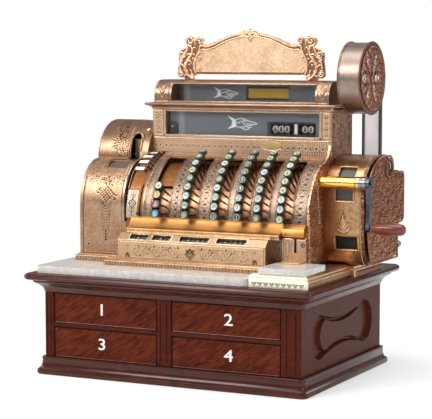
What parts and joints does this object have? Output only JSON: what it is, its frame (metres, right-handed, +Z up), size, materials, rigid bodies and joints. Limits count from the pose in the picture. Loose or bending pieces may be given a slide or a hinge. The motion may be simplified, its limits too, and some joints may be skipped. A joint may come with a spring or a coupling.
{
  "type": "cash register",
  "caption": "Antique crank-operated cash register in ornamented brass with banks of round keys, a paper drum and a receipt printer, on a mahogany cabinet of drawers with a marble shelf.",
  "frame": {"origin": "middle of the cabinet's underside, on the surface that it stands on", "axes": "+X to the right as a clerk sees it, +Y to the back, +Z up"},
  "size_m": [0.7905, 0.5134, 0.7409],
  "materials": {
    "mahogany": "polished dark mahogany",
    "mahogany_front": "polished figured mahogany",
    "marble": "polished grey-white marble",
    "brass": "rosy cast brass with relief, lacquered",
    "pale_brass": "pale polished brass",
    "dark_brass": "darkened stippled brass",
    "polished_brass": "bright polished yellow brass",
    "steel": "bright steel",
    "grip_wood": "glossy turned grip",
    "glass": "clear window glass",
    "panel": "grey painted panel",
    "wheels": "black number wheels with pale numerals",
    "flag": "yellow flag",
    "paper": "white paper",
    "key_green": "grey-green key tops",
    "key_blue": "blue key top",
    "key_pink": "pink key top",
    "key_yellow": "yellow key top",
    "key_white": "white key top"
  },
  "bodies": {
    "machine": {"cabinet_plinth": "mahogany", "cabinet_top": "mahogany", "cabinet_side_left": "mahogany", "cabinet_side_right": "mahogany", "cabinet_back": "mahogany", "cabinet_front_frame": "mahogany", "marble_shelf": "marble", "receipt_marble": "marble", "machine_base": "brass", "left_housing": "brass", "barrel_cover": "brass", "slide_bank": "brass", "key_plate": "brass", "side_casting": "brass", "lock_block": "brass", "indicator_frame": "brass", "indicator_cornice": "brass", "upper_frame": "brass", "top_sign": "brass", "printer_housing": "brass", "key_frame_1": "pale_brass", "key_frame_2": "pale_brass", "key_frame_3": "pale_brass", "key_frame_4": "pale_brass", "key_frame_5": "pale_brass", "counter_box": "pale_brass", "drum_case": "pale_brass", "back_cover": "dark_brass", "printer_side_plate": "dark_brass", "paper_guide_box": "dark_brass", "drum_grille": "dark_brass", "front_ledge": "polished_brass", "indicator_glass": "glass", "upper_glass": "glass", "indicator_panel": "panel", "upper_panel": "panel", "paper_web": "paper"},
    "drawer_1": {"drawer_1": "mahogany_front"},
    "drawer_2": {"drawer_2": "mahogany_front"},
    "drawer_3": {"drawer_3": "mahogany_front"},
    "drawer_4": {"drawer_4": "mahogany_front"},
    "coloured_key_1": {"coloured_key_1": "key_blue"},
    "coloured_key_2": {"coloured_key_2": "key_pink"},
    "coloured_key_3": {"coloured_key_3": "key_yellow"},
    "coloured_key_4": {"coloured_key_4": "key_white"},
    "bank_1_key_5": {"bank_1_key_5": "key_green"},
    "bank_2_key_5": {"bank_2_key_5": "key_green"},
    "bank_3_key_5": {"bank_3_key_5": "key_green"},
    "bank_4_key_5": {"bank_4_key_5": "key_green"},
    "bank_5_key_5": {"bank_5_key_5": "key_green"},
    "slide_lever": {"slide_lever": "steel"},
    "number_wheels": {"number_wheels": "wheels"},
    "counter_wheels": {"counter_wheels": "wheels"},
    "flag_drum": {"flag_drum": "flag"},
    "lock_plug": {"lock_plug": "steel"},
    "feed_knob": {"feed_knob": "steel"},
    "paper_roll": {"paper_roll": "paper"},
    "crank": {"crank_shaft": "polished_brass", "crank_arm": "steel"},
    "crank_grip": {"crank_grip": "grip_wood"}
  },
  "joints": [
    {"name": "drawer_1_slide", "type": "slide", "parent": "machine", "child": "drawer_1", "axis": [0, -1, 0], "range_m": [0, 0.28]},
    {"name": "drawer_2_slide", "type": "slide", "parent": "machine", "child": "drawer_2", "axis": [0, -1, 0], "range_m": [0, 0.28]},
    {"name": "drawer_3_slide", "type": "slide", "parent": "machine", "child": "drawer_3", "axis": [0, -1, 0], "range_m": [0, 0.28]},
    {"name": "drawer_4_slide", "type": "slide", "parent": "machine", "child": "drawer_4", "axis": [0, -1, 0], "range_m": [0, 0.28]},
    {"name": "coloured_key_1_press", "type": "slide", "parent": "machine", "child": "coloured_key_1", "axis": [0, 0.9949, -0.1011], "range_m": [0, 0.012], "stiffness_N_per_m": 300},
    {"name": "coloured_key_2_press", "type": "slide", "parent": "machine", "child": "coloured_key_2", "axis": [0, 0.9747, -0.2235], "range_m": [0, 0.012], "stiffness_N_per_m": 300},
    {"name": "coloured_key_3_press", "type": "slide", "parent": "machine", "child": "coloured_key_3", "axis": [0, 0.9395, -0.3425], "range_m": [0, 0.012], "stiffness_N_per_m": 300},
    {"name": "coloured_key_4_press", "type": "slide", "parent": "machine", "child": "coloured_key_4", "axis": [0, 0.8899, -0.4562], "range_m": [0, 0.012], "stiffness_N_per_m": 300},
    {"name": "bank_1_key_5_press", "type": "slide", "parent": "machine", "child": "bank_1_key_5", "axis": [0, 0.8265, -0.5629], "range_m": [0, 0.012], "stiffness_N_per_m": 300},
    {"name": "bank_2_key_5_press", "type": "slide", "parent": "machine", "child": "bank_2_key_5", "axis": [0, 0.8265, -0.5629], "range_m": [0, 0.012], "stiffness_N_per_m": 300},
    {"name": "bank_3_key_5_press", "type": "slide", "parent": "machine", "child": "bank_3_key_5", "axis": [0, 0.8265, -0.5629], "range_m": [0, 0.012], "stiffness_N_per_m": 300},
    {"name": "bank_4_key_5_press", "type": "slide", "parent": "machine", "child": "bank_4_key_5", "axis": [0, 0.8265, -0.5629], "range_m": [0, 0.012], "stiffness_N_per_m": 300},
    {"name": "bank_5_key_5_press", "type": "slide", "parent": "machine", "child": "bank_5_key_5", "axis": [0, 0.8265, -0.5629], "range_m": [0, 0.012], "stiffness_N_per_m": 300},
    {"name": "slide_lever_turn", "type": "hinge", "parent": "machine", "child": "slide_lever", "pos_m": [-0.131, 0.0346, 0.331], "axis": [-1, 0, 0], "range_deg": [0, 24]},
    {"name": "number_wheels_spin", "type": "hinge", "parent": "machine", "child": "number_wheels", "pos_m": [0.169, 0.037, 0.5255], "axis": [1, 0, 0], "continuous": true},
    {"name": "counter_wheels_spin", "type": "hinge", "parent": "machine", "child": "counter_wheels", "pos_m": [0.00617, -0.13279, 0.28651], "axis": [1, 0, 0], "continuous": true},
    {"name": "flag_drum_spin", "type": "hinge", "parent": "machine", "child": "flag_drum", "pos_m": [0.102, 0.062, 0.60115], "axis": [1, 0, 0], "continuous": true},
    {"name": "lock_plug_turn", "type": "hinge", "parent": "machine", "child": "lock_plug", "pos_m": [0.25648, -0.112, 0.2948], "axis": [0, -1, 0], "range_deg": [0, 90]},
    {"name": "feed_knob_spin", "type": "hinge", "parent": "machine", "child": "feed_knob", "pos_m": [0.3613, 0.15, 0.2753], "axis": [0, 1, 0], "continuous": true},
    {"name": "paper_roll_spin", "type": "hinge", "parent": "machine", "child": "paper_roll", "pos_m": [0.3095, 0.072, 0.635], "axis": [1, 0, 0], "continuous": true},
    {"name": "crank_turn", "type": "hinge", "parent": "machine", "child": "crank", "pos_m": [0.31, -0.046, 0.4215], "axis": [1, 0, 0], "continuous": true},
    {"name": "crank_grip_spin", "type": "hinge", "parent": "crank", "child": "crank_grip", "pos_m": [0.42, -0.046, 0.329], "axis": [1, 0, 0], "continuous": true}
  ]
}
